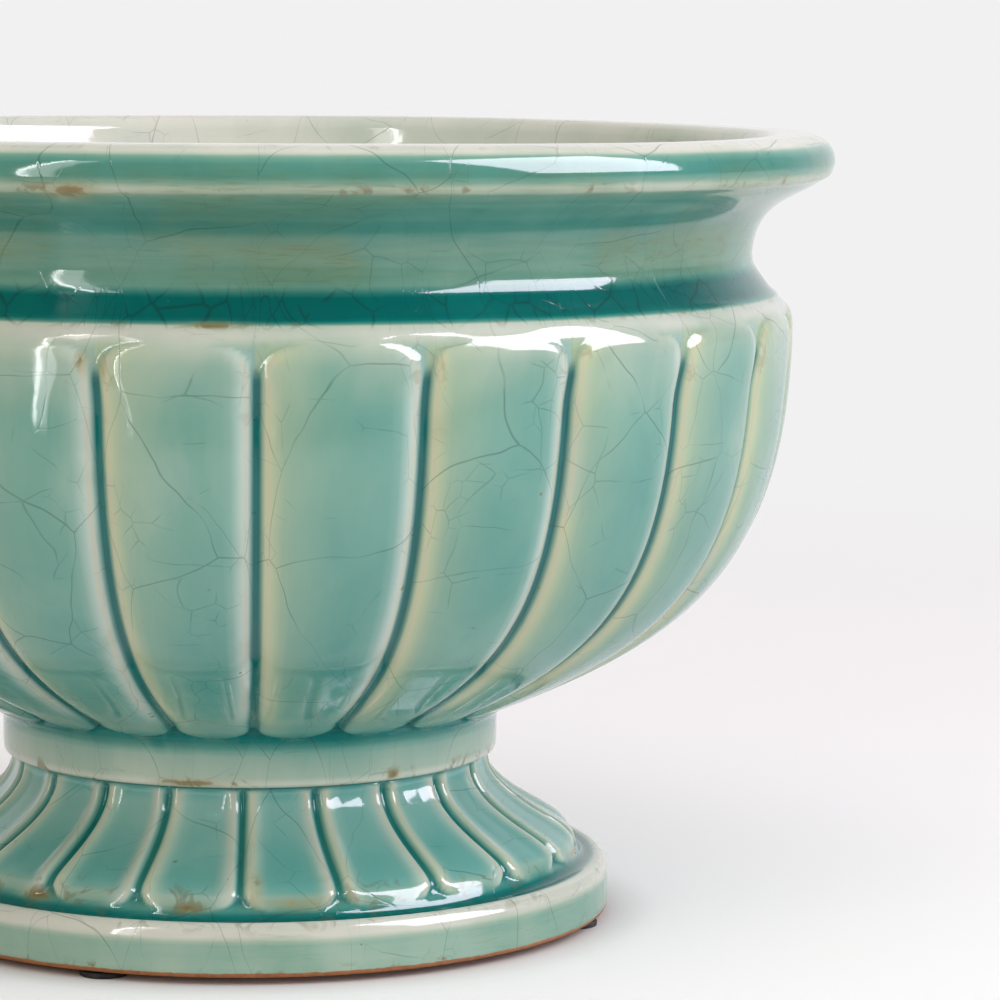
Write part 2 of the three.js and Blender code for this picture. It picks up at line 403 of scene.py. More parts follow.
def bowl_surface(size):
    """The bowl. Every point is the outline's, turned round the axis and sunk along the outline's own
    outward direction by the flute's depth there. Across a flute the depth is a high power of the
    distance from its middle, so the flute bulges and drops to a groove that pooled glaze half fills.
    Two sums of sine waves round the axis give it a hand-made waviness: one draws the face inwards and
    the other lowers the rim."""
    line = bowl_outline(size)
    seat = size.seat / MM
    flutes = size.flutes
    turns, nearness = flute_columns(
        flutes, [0, 0.034, 0.07, 0.112, 0.17, 0.24, 0.325, 0.44, 0.6, 0.79, 1])
    walked, radius, height = (value[:, None] for value in (line.walked, line.radius, line.height))
    outside = (walked > line.place(54, seat + 8)) & (walked < line.place(113.2, 135.9))
    top_end = line.place(116.6, 132.2)
    low_end = line.place(57.6, seat + 10.2)

    half = math.pi * radius / flutes
    from_middle = (1 - nearness)[None, :] * half
    reach = panel_reach(
        walked, half, top_end, top_corner=(6, 6.5), low_end=low_end, low_corner=(0.62 * half, 5.5))
    inset = reach - from_middle
    # Near its ends a flute is flatter and its groove shallower.
    near_end = np.maximum(1 - rise(top_end - walked, 2, 15), 1 - rise(walked - low_end, 1, 9))
    power = 4.4 + 3.6 * near_end
    fall = np.clip(1 - np.maximum(inset, 0) / half, 0, 1) ** power
    deepest = 0.215 * half * (1 - near_end) + 1.45 * near_end
    deepest = deepest * rise(top_end - walked, -3.4, 2.4) * rise(walked - low_end, -2.2, 0.6)
    brim = np.maximum(deepest - 0.375 * (1 - near_end) * size.groove_width / MM, 1e-3)
    depth = np.maximum(soft_smaller(deepest * fall, brim), 0) * outside

    angle = (2 * math.pi * turns / flutes + size.turn + groove_drift(turns, flutes))[None, :]
    hand = 0.10 * np.sin(3 * angle + 0.045 * height) + 0.07 * np.sin(5 * angle - 0.06 * height + 1.3)
    hand = (hand - 0.17) * (1 - 0.7 * rise(height, 150, 163))
    sway = 0.16 * np.sin(2 * angle + 2.2) + 0.08 * np.sin(5 * angle + 0.6) - 0.24
    sunk = radius - line.out_radius[:, None] * depth + hand * rise(radius, 30, 50)
    lifted = height - line.out_height[:, None] * depth + sway * rise(height, 150, 168)
    seam = np.angle(np.exp(1j * (angle + SEAM_ANGLE))) * radius
    seam = bell(seam, 0.9) * rise(walked, line.place(53.9, 41), line.place(55, 45))

    # The glaze's thickness along the outline: 0 where it is drawn thin, 1 where it pools.
    base = line.along([
        (0, seat + 9.3, 0.5), (45, seat + 3, 0.5), (51, seat, 0.1), (53.2, seat - 0.6, 0.3),
        (53.7, seat + 0.2, 0.1), (53.8, seat + 1.5, 0.3), (53.9, seat + 4, 0.35), (53.9, seat + 6, 0.4),
        # In the cove under the flute ends, above the foot ring, the glaze pools and is darkened further as
        # painted shade under their overhang.
        (54.4, seat + 8, 0.62), (56, seat + 9.4, 0.82), (58, seat + 10.6, 0.74), (63, seat + 12.5, 0.6),
        (80, 57, 0.56), (100, 71, 0.56), (113, 93, 0.54), (117, 118, 0.48), (117, 128, 0.38),
        (116.6, 132, 0.24), (114.9, 134, 0.1), (113.7, 135.3, 0.14), (113, 136, 0.8), (112, 136.8, 1.0),
        (108.9, 140.6, 0.97), (108.3, 142.4, 0.55), (108.5, 146, 0.58), (109.8, 150, 0.66),
        (112, 153.5, 0.74), (118.5, 157.6, 0.74), (122.4, 160, 0.52), (124.3, 161.1, 0.3),
        (124.9, 162, 0.24), (124.8, 163, 0.5), (125.3, 164.2, 0.7), (124.9, 166.4, 0.7),
        (124.2, 167.8, 0.5), (123.5, 168.6, 0.08), (121, 170, 0.03), (113.5, 170, 0.06),
        (109.8, 167.5, 0.12), (102, 146, 0.06), (110, 124, 0.2), (60, 56, 0.5), (0, 52, 0.75),
    ])[:, None]
    on_flute = outside * rise(top_end - walked, -2, 3) * rise(walked - low_end, -1.5, 1)
    in_groove = bell(np.maximum(inset - 0.5 * size.groove_width / MM, 0), 0.6) * on_flute
    in_groove = in_groove * (0.45 + 0.55 * rise(top_end - walked, 3.5, 7.5))
    beside = bell(np.maximum(inset - 2, 0), 2.2) * on_flute * (1 - in_groove)
    # Along the flute ends the glaze pools, and is darkened further as painted shade where they overhang the
    # cove.
    scallop_pool_and_shade = bell(inset, 0.55) * (walked < low_end + 7) * on_flute
    thick = base + (1 - base) * in_groove * 0.97 + 0.4 * scallop_pool_and_shade
    thick = thick + 0.13 * seam * rise(height, 108, 122) + 0.2 * seam * (height < 47)
    edge = line.along([
        (52, seat, 0), (53.2, seat - 0.5, 1), (53.8, seat + 0.8, 0.8), (53.9, seat + 3, 0),
        (114.6, 134.4, 0), (113.4, 135.6, 0.55), (112.6, 136.3, 0), (122.8, 160.2, 0),
        (124.7, 161.6, 0.8), (124.6, 163.4, 0), (123.4, 168.8, 0), (122, 169.6, 0.3), (119, 170, 0),
    ])[:, None] + 0.35 * beside * rise(height, 110, 126)
    brushed = line.along([
        (114, 135, 0), (109.3, 140.6, 0), (108.2, 144, 0.7), (109.5, 149.5, 1), (112, 153.5, 0.4),
        (118, 157.5, 0.5), (124.5, 162, 0.6), (125, 166, 0.35), (123.4, 168.8, 0.1), (109, 166, 0),
    ])[:, None]
    torn = line.along([(114.3, 134.7, 0), (113.4, 135.6, 1), (109.3, 140.6, 1), (108.2, 143.5, 0)])[:, None]
    bare = line.along([(0, seat + 9.3, 1), (51.5, seat, 1), (52.4, seat - 0.1, 0), (0, 52, 0)])[:, None]
    marks = {
        "thick": thick, "edge": edge, "brushed": brushed, "bare": bare, "torn": torn,
        "pale": beside * rise(walked - low_end, 4, 22),
        # Where a point lies across its flute, -1 at the left groove to 1 at the right: it places the
        # painted window light and softbox sheen.
        "painted_light_side": (2 * (turns % 1) - 1)[None, :] * on_flute,
        "worn": worn_spots(angle, radius, height, BOWL_WEAR),
    }
    return sunk * np.sin(angle), -sunk * np.cos(angle), lifted, marks


def groove_drift(turns, flutes):
    """The hand-cut wander of each groove, in radians: measured shifts for the grooves that face the front
    and a small wave for the rest, drawn straight from one groove to the next."""
    groove = np.arange(flutes + 1)
    shift = 0.3 * np.sin(2.3 * groove + 0.4)
    front = {-1: -0.1, 0: -0.45, 1: 0.25, 2: 0.25, 3: 0.1, 4: 0.3}
    for step, degrees in front.items():
        shift[step % flutes] = degrees
    shift[flutes] = shift[0]
    return np.radians(np.interp(turns, groove, shift))


def stand_outline(size):
    """The stand's outline, as (radius, height) points in millimetres: out along its underside, up its
    face, over the seat and down its hollow."""
    low, seat = size.underside / MM, size.seat / MM
    base, throat = size.base_radius / MM - 0.05, size.throat_radius / MM
    points = [
        [(67, low), (base - 0.6, low), (base - 0.15, low + 0.5), (base, low + 1.5), (base, 9.1)],
        bend((base, 9.1), (base, 11.2), (77.6, 12.5), (75.9, 12.5)),
        [(74.6, 12.1), (73.2, 12), (72.1, 12.8), (71.3, 15), (70.9, 16.8), (69.4, 18.5)],
        bend((69.4, 18.5), (65.7, 21.4), (throat + 0.6, 26.7), (throat, 34)),
        [(throat - 0.3, seat - 0.6), (throat - 1, seat), (44, seat), (44, seat + 4), (43, seat + 5)],
        [(39, seat + 5), (38, seat + 4), (38, 33)],
        bend((38, 33), (41, 31.2), (44, 30), (44.6, 28)),
        bend((44.6, 28), (45.5, 21.5), (64, 20), (65.6, 12)),
        [(67, low)],
    ]
    spacing = [
        (67, low, 3), (77, low, 0.6), (base, low + 1, 0.35), (base, 6, 1), (77.5, 12, 0.5),
        (71.3, 15, 0.45), (69.4, 18.5, 0.8), (56, 28, 1), (throat, 34, 0.5), (throat - 1, seat, 0.5),
        (46, seat, 2), (40, seat + 5, 1.2), (45, 27, 3), (65, 14, 3),
    ]
    return Outline(points, 0.35, spacing, closed=True)


def stand_surface(size):
    """The stand. As the bowl, but each flute has a round groove beside it, a raised edge and a hollow
    middle: the depth is a bell curve at the groove plus a smooth rise towards the middle."""
    line = stand_outline(size)
    flutes = size.flutes
    turns, nearness = flute_columns(flutes, [0, 0.06, 0.12, 0.18, 0.25, 0.33, 0.43, 0.55, 0.75, 1])
    walked, radius, height = (value[:, None] for value in (line.walked, line.radius, line.height))
    low, seat = size.underside / MM, size.seat / MM
    throat = size.throat_radius / MM
    toe = line.place(71.7, 14.2)
    neck = line.place(throat - 0.1, seat - 0.3)
    outside = (walked > line.place(73.2, 12)) & (walked < line.place(throat - 0.6, seat - 0.2))

    half = math.pi * radius / flutes
    from_middle = (1 - nearness)[None, :] * half
    reach = panel_reach(walked, half, neck, top_corner=(0.6, 0.8), low_end=toe, low_corner=(3.6, 3.8))
    inset = reach - from_middle
    grown = rise(walked - toe, -1.2, 1.8) * rise(neck - walked, -0.2, 1.4) * outside
    groove = bell(np.maximum(inset, 0), 1.0) * grown
    hollow = rise(inset, 1.8, 0.6 * half) * grown * rise(walked - toe, 1, 5)
    depth = size.groove_depth / MM * groove + size.hollow / MM * hollow

    angle = (2 * math.pi * turns / flutes + size.turn + 0.004 * np.sin(4 * turns))[None, :]
    hand = 0.06 * np.sin(3 * angle + 1.1) + 0.05 * np.sin(7 * angle + 0.09 * height) - 0.11
    sunk = radius - line.out_radius[:, None] * depth + hand * rise(radius, 45, 50)
    lifted = height - line.out_height[:, None] * depth

    # The glaze's thickness along the outline, as on the bowl.
    base = line.along([
        (67, low, 0.4), (78.5, 3.6, 0.4), (78.5, 8.6, 0.42), (78.3, 10, 0.04), (77.4, 11.9, -0.2),
        (75.8, 12.4, -0.2), (74.9, 12.3, 0.5), (74, 12.1, 0.97), (72.8, 12.3, 0.97), (72, 13.2, 0.8),
        (71.4, 14.8, 0.42), (70.9, 16.8, 0.3), (68.5, 19, 0.34), (62, 23, 0.42), (55, 28.4, 0.38),
        (52.4, 32.2, 0.36), (52, 34.2, 0.5), (51.5, 35.6, 0.9), (45, seat, 0.4),
    ])[:, None]
    beside = bell(np.maximum(inset - 2.3, 0), 1.9) * rise(inset, 0.6, 1.9) * grown
    pooled = bell(np.maximum(inset - 0.4, 0), 0.6) * grown
    thick = base + np.maximum(0.8 - base, 0) * pooled + 0.14 * hollow * bell(walked - toe - 7, 7)
    edge = line.along([
        (78.2, low + 0.4, 0), (78.5, low + 1.3, 1), (78.55, low + 2.6, 0), (78.3, 10, 0), (77.4, 12, 0.5),
        (75.8, 12.4, 0.2), (74.5, 12.2, 0), (71.6, 14.6, 0.6), (70, 18, 0.5), (67, 20.4, 0),
    ])[:, None] * (1 - pooled)
    bare = line.along([
        (70, low, 1), (78.3, low + 0.3, 1), (78.5, low + 1.1, 0.5), (78.5, low + 1.6, 0),
        (throat - 0.6, seat, 0), (throat - 1.4, seat, 1), (60, 21, 1),
    ])[:, None]
    marks = {
        # The cool mark is the hollows, where the glaze gets its painted cool light.
        "thick": thick, "edge": edge, "brushed": 0.25 * (height < 12), "bare": bare, "cool": hollow,
        "pale": beside,
        # Where a point lies across its flute, shifted towards the right: it places the painted light in the
        # glaze.
        "painted_light_side": (0.15 + 0.2 * (2 * (turns % 1) - 1))[None, :] * grown,
        "worn": worn_spots(angle, radius, height, STAND_WEAR),
    }
    return sunk * np.sin(angle), -sunk * np.cos(angle), lifted, marks


def pad_surface(low, high, rounding):
    """One pad: an outline with rounded edges, turned round the pad's own axis."""
    radius = (high.x - low.x) / 2 / MM - 0.02
    bottom, top = low.z / MM, high.z / MM
    points = [
        [(0, bottom), (radius - rounding, bottom)],
        bend((radius - rounding, bottom), (radius - rounding / 3, bottom), (radius, bottom + rounding / 3),
             (radius, bottom + rounding), 8),
        [(radius, top - rounding)],
        bend((radius, top - rounding), (radius, top - rounding / 3), (radius - rounding / 3, top),
             (radius - rounding, top), 8),
        [(0, top)],
    ]
    spacing = [
        (0, bottom, 0.9), (radius - 1, bottom, 0.3), (radius, (bottom + top) / 2, 0.15),
        (radius - 1, top, 0.3), (0, top, 0.9),
    ]
    line = Outline(points, 0.05, spacing)
    angle = np.linspace(0, 2 * math.pi, 72, endpoint=False)[None, :]
    x = (low.x + high.x) / 2 / MM + line.radius[:, None] * np.sin(angle)
    y = (low.y + high.y) / 2 / MM - line.radius[:, None] * np.cos(angle)
    return x, y, np.broadcast_to(line.height[:, None], x.shape), {}


# Materials.


class Wiring:
    """Adds nodes to a material and joins them up."""

    def __init__(self, name):
        self.material = bpy.data.materials.new(name)
        self.material.use_nodes = True
        self.tree = self.material.node_tree
        self.tree.nodes.clear()

    def add(self, kind, inputs=None, **settings):
        """A node of one kind. An input takes a number, a colour or another node's socket."""
        node = self.tree.nodes.new(kind)
        for key, value in settings.items():
            setattr(node, key, value)
        for key, value in (inputs or {}).items():
            socket = node.inputs[key]
            if isinstance(value, bpy.types.NodeSocket):
                self.tree.links.new(value, socket)
            else:
                socket.default_value = value
        return node

    def math(self, operation, first, second=0.0):
        """The result of one operation on two numbers or sockets."""
        return self.add("ShaderNodeMath", {0: first, 1: second}, operation=operation).outputs[0]

    def step(self, value, low, high, to_low=0.0, to_high=1.0):
        """Smoothly maps low to high onto two other numbers."""
        node = self.add(
            "ShaderNodeMapRange",
            {"Value": value, "From Min": low, "From Max": high, "To Min": to_low, "To Max": to_high},
            interpolation_type="SMOOTHSTEP")
        return node.outputs["Result"]

    def noise(self, where, scale, detail=2.0, roughness=0.5, distortion=0.0, output="Fac"):
        """Cloudy noise, about 0.5 on average."""
        node = self.add(
            "ShaderNodeTexNoise",
            {"Vector": where, "Scale": scale, "Detail": detail, "Roughness": roughness,
             "Distortion": distortion})
        return node.outputs[output]

    def mix(self, share, under, over):
        """The colour under, with a share of the colour over laid on it."""
        node = self.add("ShaderNodeMix", {"Factor": share}, data_type="RGBA")
        for socket, value in ((node.inputs[6], under), (node.inputs[7], over)):
            if isinstance(value, bpy.types.NodeSocket):
                self.tree.links.new(value, socket)
            else:
                socket.default_value = (*value, 1)
        return node.outputs[2]

    def attribute(self, name):
        """One of the mesh's marks. It is 0 all over on a piece that hasn't got it."""
        node = self.add("ShaderNodeAttribute", attribute_name=name, attribute_type="GEOMETRY")
        return node.outputs["Fac"]


def crackle(wiring, place, across, tall, width, seed):
    """Lines between cells on the glaze's own map: 1 on a line and 0 away from it. across and tall are a
    cell's size and width is the line's, in millimetres."""
    scaled = wiring.add(
        "ShaderNodeMapping",
        {"Vector": place, "Location": (seed, 2 * seed, 0), "Scale": (1 / across, 1 / tall, 1)})
    cells = wiring.add(
        "ShaderNodeTexVoronoi", {"Vector": scaled.outputs[0], "Scale": 1.0, "Randomness": 1.0},
        voronoi_dimensions="2D", feature="DISTANCE_TO_EDGE")
    return wiring.step(cells.outputs["Distance"], 0.0, width / across, 1.0, 0.0)


def glaze_material(colours, name):
    """A glossy crackled glaze. Its colour follows its thickness: bone where it is drawn thin, celadon on
    the open faces and dark teal where it pools. Strips beside the grooves, brush streaks and worn spots
    tint it, cracks darken it, rust shows at edges and clay where the glaze stops. Painted light is laid
    on it too: warm window light on the left half of each flute, softbox sheen on the right edges, and
    lighter, cooler hollows on the stand's flutes."""
    w = Wiring(name)
    place = w.add("ShaderNodeTexCoord").outputs["Object"]
    on_map = w.add("ShaderNodeUVMap", uv_map="glaze_map").outputs[0]
    marks = ("thick", "edge", "brushed", "bare", "pale", "painted_light_side", "worn", "cool", "torn")
    thick, edge, brushed, bare, pale, painted_light_side, worn, cool, torn = (w.attribute(mark) for mark in marks)

    broad = w.noise(place, 22, 2, 0.5, 0.3)
    upright = w.add("ShaderNodeMapping", {"Vector": place, "Scale": (1, 1, 0.5)}).outputs[0]
    cloudy = w.noise(upright, 80, 3, 0.55, 0.4)
    flat = w.add("ShaderNodeMapping", {"Vector": place, "Scale": (1, 1, 11)}).outputs[0]
    streaks = w.noise(flat, 34, 3, 0.65, 0.3)
    hairs = w.noise(flat, 130, 3, 0.6)
    depth = w.math("ADD", thick, w.math("MULTIPLY", w.math("SUBTRACT", broad, 0.5), 0.3))
    depth = w.math("ADD", depth, w.math("MULTIPLY", w.math("SUBTRACT", cloudy, 0.5), 0.2))
    sweep = w.math("MULTIPLY", w.math("SUBTRACT", streaks, 0.5), w.math("MULTIPLY", brushed, 0.4))
    depth = w.math("SUBTRACT", depth, sweep)

    ramp = w.add("ShaderNodeValToRGB", {"Fac": depth})
    stops = (
        (0.04, colours.bone), (0.26, colours.cream), (0.48, colours.celadon), (0.68, colours.sage),
        (0.86, colours.teal), (0.99, colours.pool),
    )
    for element, (position, tone) in zip(ramp.color_ramp.elements, (stops[0], stops[-1])):
        element.position = position
        element.color = (*tone, 1)
    for position, tone in stops[1:-1]:
        ramp.color_ramp.elements.new(position).color = (*tone, 1)
    tone = ramp.outputs["Color"]

    # Painted warm window light: the left half of each flute, where the glaze is not thick, is tinted warm
    # yellow.
    painted_window_warmth = w.math("MULTIPLY", w.step(painted_light_side, -1.0, 0.2, 0.45, 0.0), w.step(thick, 0.3, 0.9, 1.0, 0.0))
    tone = w.mix(painted_window_warmth, tone, colours.straw_and_window_light)
    # The pale strips beside the grooves are thin glaze, and their tint is painted light: warm window light
    # on a flute's left edge and softbox sheen on its right edge.
    strip = w.mix(w.step(painted_light_side, -0.3, 0.3), colours.straw_and_window_light, colours.blush_and_softbox_sheen)
    strip = w.mix(w.step(cloudy, 0.5, 0.75), strip, colours.cream)
    strip = w.mix(w.step(pale, 0.8, 1.0, 0.0, 0.55), strip, colours.peach)
    tone = w.mix(w.math("MULTIPLY", pale, 0.85), tone, strip)
    # The stand's hollows are partly the glaze gathered there and partly painted light: lighter and cooler
    # where the bowl shades them.
    tone = w.mix(w.math("MULTIPLY", cool, 0.45), tone, colours.lagoon_and_cool_light)
    islands = w.step(broad, 0.42, 0.56)
    olive = w.math("MULTIPLY", islands, w.step(hairs, 0.3, 0.7, 0.45, 1.0))
    olive = w.math("MULTIPLY", w.math("ADD", w.math("MULTIPLY", olive, 0.5), 0.3), brushed)
    tone = w.mix(olive, tone, colours.olive)
    hair = w.math("MULTIPLY", w.step(hairs, 0.54, 0.66), w.math("MULTIPLY", brushed, islands))
    tone = w.mix(w.math("MULTIPLY", hair, 0.3), tone, tuple(0.5 * c for c in colours.olive))

    bent = w.noise(place, 45, 2, output="Color")
    bent = w.add("ShaderNodeVectorMath", {0: bent, 1: (0.5, 0.5, 0.5)}, operation="SUBTRACT").outputs[0]
    bent = w.add("ShaderNodeVectorMath", {0: bent, "Scale": 7.0}, operation="SCALE").outputs[0]
    bent = w.add("ShaderNodeVectorMath", {0: on_map, 1: bent}, operation="ADD").outputs[0]
    faded = w.noise(place, 60, 2)
    main = crackle(w, bent, across=17, tall=30, width=0.15, seed=3.1)
    main = w.math("MULTIPLY", main, w.step(faded, 0.38, 0.55, 0.3, 1.0))
    fine = crackle(w, bent, across=7.5, tall=11, width=0.13, seed=7.7)
    fine = w.math("MULTIPLY", fine, w.step(cloudy, 0.48, 0.6, 0.0, 0.7))
    burst = crackle(w, bent, across=3, tall=5, width=0.14, seed=1.7)
    burst = w.math("MULTIPLY", burst, w.step(faded, 0.6, 0.7, 0.0, 0.7))
    starred = crackle(w, bent, across=3.6, tall=8, width=0.24, seed=5.3)
    starred = w.math("MULTIPLY", starred, w.step(faded, 0.34, 0.46, 0.0, 0.9))
    starred = w.math("MULTIPLY", starred, torn)
    lines = w.math("MAXIMUM", w.math("MAXIMUM", main, fine), w.math("MAXIMUM", burst, starred))
    dark = w.mix(0.8, tone, tuple(0.14 * c for c in colours.sage))
    tone = w.mix(w.math("MULTIPLY", lines, w.step(thick, 0.75, 0.95, 0.52, 0.75)), tone, dark)

    patches = w.noise(place, 150, 3, 0.65, 0.8)
    warmed = w.math("MULTIPLY", worn, w.step(patches, 0.3, 0.55, 0.5, 1.0))
    tone = w.mix(warmed, tone, colours.ochre)
    chance = w.math("ADD", patches, w.math("MULTIPLY", worn, 0.17))
    rust = w.math("MULTIPLY", w.math("MAXIMUM", edge, worn), w.step(chance, 0.55, 0.66))
    tone = w.mix(w.math("MULTIPLY", rust, 0.75), tone, colours.rust)
    specks = w.step(w.noise(place, 420, 1), 0.8, 0.83)
    tone = w.mix(w.math("MULTIPLY", specks, 0.6), tone, colours.rust)
    grit = w.noise(place, 700, 3, 0.7)
    clay = w.mix(w.step(grit, 0.3, 0.75), colours.clay, tuple(0.72 * c for c in colours.clay))
    ragged = w.math("ADD", bare, w.math("MULTIPLY", w.math("SUBTRACT", patches, 0.5), 0.7))
    ragged = w.step(ragged, 0.4, 0.6)
    tone = w.mix(ragged, tone, clay)

    peel = w.noise(place, 190, 2, 0.5)
    peel = w.math("SUBTRACT", peel, w.math("MULTIPLY", lines, 0.4))
    bump = w.add("ShaderNodeBump", {"Strength": 0.5, "Distance": 0.00006, "Height": peel})
    surface = w.add(
        "ShaderNodeBsdfPrincipled",
        {"Base Color": tone, "Roughness": w.step(ragged, 0.0, 1.0, 0.07, 0.8), "IOR": 1.52,
         "Normal": bump.outputs[0]})
    w.add("ShaderNodeOutputMaterial", {"Surface": surface.outputs[0]})
    return w.material


def rubber_material(colours):
    """Matt black rubber with a fine grain and dusty patches."""
    w = Wiring("pad_rubber")
    place = w.add("ShaderNodeTexCoord").outputs["Object"]
    grain = w.noise(place, 2600, 3, 0.6)
    dust = w.step(w.noise(place, 420, 3, 0.6), 0.45, 0.75, 0.0, 0.35)
    tone = w.mix(dust, colours.rubber, shade(74, 72, 69))
    bump = w.add("ShaderNodeBump", {"Strength": 0.4, "Distance": 0.00005, "Height": grain})
    surface = w.add(
        "ShaderNodeBsdfPrincipled",
        {"Base Color": tone, "Roughness": w.step(grain, 0.3, 0.7, 0.62, 0.82), "Normal": bump.outputs[0]})
    w.add("ShaderNodeOutputMaterial", {"Surface": surface.outputs[0]})
    return w.material


def table_material(light):
    """A smooth pale table top that sweeps up behind. Where it is looked at, straight on or in a
    reflection, a little of its own glow makes it paler, and far from the bowl it is the plain backdrop.
    The glaze sees it grow dim to the front, the sides and above, and end not far in front."""
    w = Wiring("table_top")
    place = w.add("ShaderNodeTexCoord").outputs["Object"]
    cloud = w.noise(place, 3, 2, 0.5)
    tone = w.mix(w.math("MULTIPLY", cloud, 0.5), light.table, tuple(0.97 * c for c in light.table))
    lit = w.add("ShaderNodeBsdfDiffuse", {"Color": tone}).outputs[0]
    apart = w.add("ShaderNodeVectorMath", {0: place}, operation="LENGTH").outputs["Value"]
    glow = w.math("MULTIPLY", w.step(apart, 0.074, 0.092), light.table_glow)
    glow = w.add("ShaderNodeEmission", {"Color": (1, 0.985, 0.995, 1), "Strength": glow}).outputs[0]
    near = w.add("ShaderNodeAddShader", {0: lit, 1: glow}).outputs[0]
    far = w.add("ShaderNodeEmission", {"Color": (*light.backdrop, 1), "Strength": 1.0}).outputs[0]
    seen = w.add("ShaderNodeMixShader", {0: w.step(apart, 0.3, 0.9), 1: near, 2: far}).outputs[0]
    path = w.add("ShaderNodeLightPath")
    at = w.add("ShaderNodeSeparateXYZ", {0: place}).outputs
    dim = w.add("ShaderNodeEmission", {"Strength": light.surround}).outputs[0]
    clear = w.add("ShaderNodeBsdfTransparent").outputs[0]
    ending = w.step(at["Y"], -0.48, -0.4)
    dim = w.add("ShaderNodeMixShader", {0: ending, 1: clear, 2: dim}).outputs[0]
    bright = w.math("MULTIPLY", w.step(at["Y"], -0.85, -0.12), w.step(at["Z"], 1.0, 3.8, 1.0, 0.0))
    bright = w.math("MULTIPLY", bright, w.step(w.math("ABSOLUTE", at["X"]), 1.0, 4.6, 1.0, 0.0))
    bright = w.math("MULTIPLY", bright, ending)
    bright = w.math("MAXIMUM", bright, path.outputs["Is Camera Ray"])
    seen = w.add("ShaderNodeMixShader", {0: bright, 1: dim, 2: seen}).outputs[0]
    looked_at = w.math("MAXIMUM", path.outputs["Is Camera Ray"], path.outputs["Is Glossy Ray"])
    looked_at = w.math("MAXIMUM", looked_at, path.outputs["Is Transmission Ray"])
    both = w.add("ShaderNodeMixShader", {0: looked_at, 1: lit, 2: seen}).outputs[0]
    w.add("ShaderNodeOutputMaterial", {"Surface": both})
    return w.material


# Pieces.


def finish_piece(piece, material, body, slot, *nodes):
    """Gives a piece its material and its body, and lets it stand for its CAD nodes. The slot is not used.
    """
    piece.data.materials.append(material)
    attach(piece, body)
    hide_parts(*nodes)


class JARDINIERE_OT_bowl(bpy.types.Operator):
    """Builds the fluted bowl with its rim, neck and foot ring"""

    bl_idname = "jardiniere.bowl"
    bl_label = "Build the bowl"

    def execute(self, context):
        x, y, z, marks = bowl_surface(context.scene.jardiniere_bowl)
        piece = skin("bowl_glazed", x, y, z, marks, scale_round=105)
        material = glaze_material(context.scene.jardiniere_glaze, "bowl_glaze")
        finish_piece(piece, material, "bowl", "glaze", "bowl")
        return {"FINISHED"}


class JARDINIERE_OT_stand(bpy.types.Operator):
    """Builds the flared stand with its flutes and base ring"""

    bl_idname = "jardiniere.stand"
    bl_label = "Build the stand"

    def execute(self, context):
        x, y, z, marks = stand_surface(context.scene.jardiniere_stand)
        piece = skin("stand_glazed", x, y, z, marks, closed_rows=True, scale_round=65)
        material = glaze_material(context.scene.jardiniere_glaze, "stand_glaze")
        finish_piece(piece, material, "stand", "glaze", "stand")
        return {"FINISHED"}


class JARDINIERE_OT_pads(bpy.types.Operator):
    """Builds the four pads under the base ring"""

    bl_idname = "jardiniere.pads"
    bl_label = "Build the pads"

    def execute(self, context):
        material = rubber_material(context.scene.jardiniere_glaze)
        rounding = context.scene.jardiniere_stand.pad_rounding / MM
        for node in PAD_NODES:
            low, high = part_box(node)
            x, y, z, marks = pad_surface(low, high, rounding)
            piece = skin(node.replace("stand_", "") + "_rubber", x, y, z, marks, scale_round=4)
            finish_piece(piece, material, "stand", "pad_rubber", node)
        return {"FINISHED"}


def direction(azimuth, elevation):
    """A unit vector from the object: azimuth runs from the front towards the right, in degrees."""
    azimuth, elevation = math.radians(azimuth), math.radians(elevation)
    return Vector((math.cos(elevation) * math.sin(azimuth), -math.cos(elevation) * math.cos(azimuth),
                   math.sin(elevation)))


def panel_light(name, azimuth, elevation, distance, width, tall, power, tint, diffuse=True, glossy=True):
    """A soft panel aimed at the bowl. It may light the colours, show in the gloss, or both."""
    aim = Vector((0, 0, 0.1))
    lamp = bpy.data.lights.new(name, "AREA")
    lamp.shape = "RECTANGLE"
    lamp.size, lamp.size_y = width, tall
    lamp.energy = power
    lamp.color = tint
    holder = bpy.data.objects.new(name, lamp)
    holder.location = aim + distance * direction(azimuth, elevation)
    holder.rotation_euler = (holder.location - aim).to_track_quat("Z", "Y").to_euler()
    holder.visible_diffuse = diffuse
    holder.visible_glossy = glossy
    bpy.context.scene.collection.objects.link(holder)


def table_sweep():
    """The table top and backdrop in one sheet: flat under the bowl, then a quarter circle up to a wall."""
    line = np.vstack([[(-4, 0), (1.5, 0)], arc((1.5, 1), 1, -90, 0, 24), [(2.5, 4)]])
    x = np.array([-5, 5])[None, :]
    rows = len(line)
    points = np.stack(np.broadcast_arrays(x, line[:, :1], line[:, 1:]), 2).reshape(-1, 3)
    low = 2 * np.arange(rows - 1)
    faces = np.stack([low, low + 1, low + 3, low + 2], 1)
    mesh = bpy.data.meshes.new("table_top")
    mesh.from_pydata(points, [], faces.tolist())
    mesh.polygons.foreach_set("use_smooth", np.ones(len(faces), bool))
    table = bpy.data.objects.new("table_top", mesh)
    bpy.context.scene.collection.objects.link(table)
    return table


# The camera: its place in metres, its yaw, pitch and roll in radians, and its lens and sensor in
# millimetres. The tints of the lamps are red, green and blue, with the lamps in the order cool, warm,
# plain and lilac.
CAMERA_PLACE = (0, -0.9072, 0.1936)
CAMERA_TURN = (0.0597, 0.1142, 0.0071)
CAMERA_LENS = (151.2, 36)
LAMP_TINTS = ((0.87, 0.94, 1), (1, 0.98, 0.62), (1, 1, 1), (0.95, 0.86, 1))
AMBIENT_TINT = (1, 1, 0.97)


